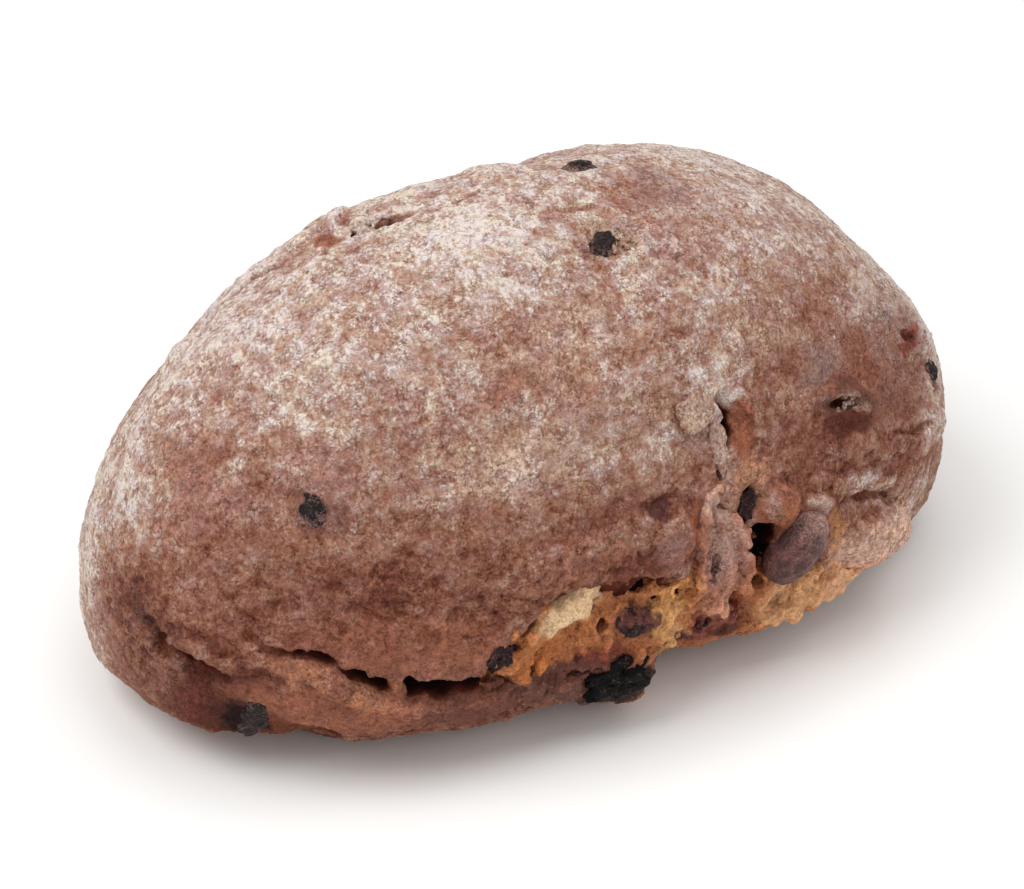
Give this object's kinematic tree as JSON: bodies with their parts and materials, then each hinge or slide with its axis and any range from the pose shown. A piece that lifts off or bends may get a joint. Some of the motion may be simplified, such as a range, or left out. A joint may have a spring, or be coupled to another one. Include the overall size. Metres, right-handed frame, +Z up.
{
  "type": "rye bread loaf",
  "caption": "Oval hand-shaped rye loaf with a floured crust, a burst flank showing crumb, cracks round the foot, and raisins and a nut baked into the crust.",
  "frame": {"origin": "middle of the whole loaf in plan, at the height of the flat base it rests on", "axes": "+X along the loaf towards its broader end, -Y towards the burst flank, +Z up"},
  "size_m": [0.2204, 0.134, 0.105],
  "materials": {
    "crust": "dry, floury, matte",
    "nut_skin": "dull, thin papery skin",
    "raisin": "dark, wrinkled, slightly glossy"
  },
  "bodies": {
    "root": {"loaf": "crust", "nut": "nut_skin", "raisin_foot": "raisin", "raisin_corner": "raisin", "raisin_crack": "raisin", "raisin_flank": "raisin", "raisin_crown": "raisin", "raisin_crown_far": "raisin", "raisin_burst": "raisin", "raisin_burst_far": "raisin", "raisin_blister": "raisin", "raisin_broad_end": "raisin", "raisin_back": "raisin", "raisin_back_low": "raisin", "raisin_far_end": "raisin"}
  },
  "joints": []
}
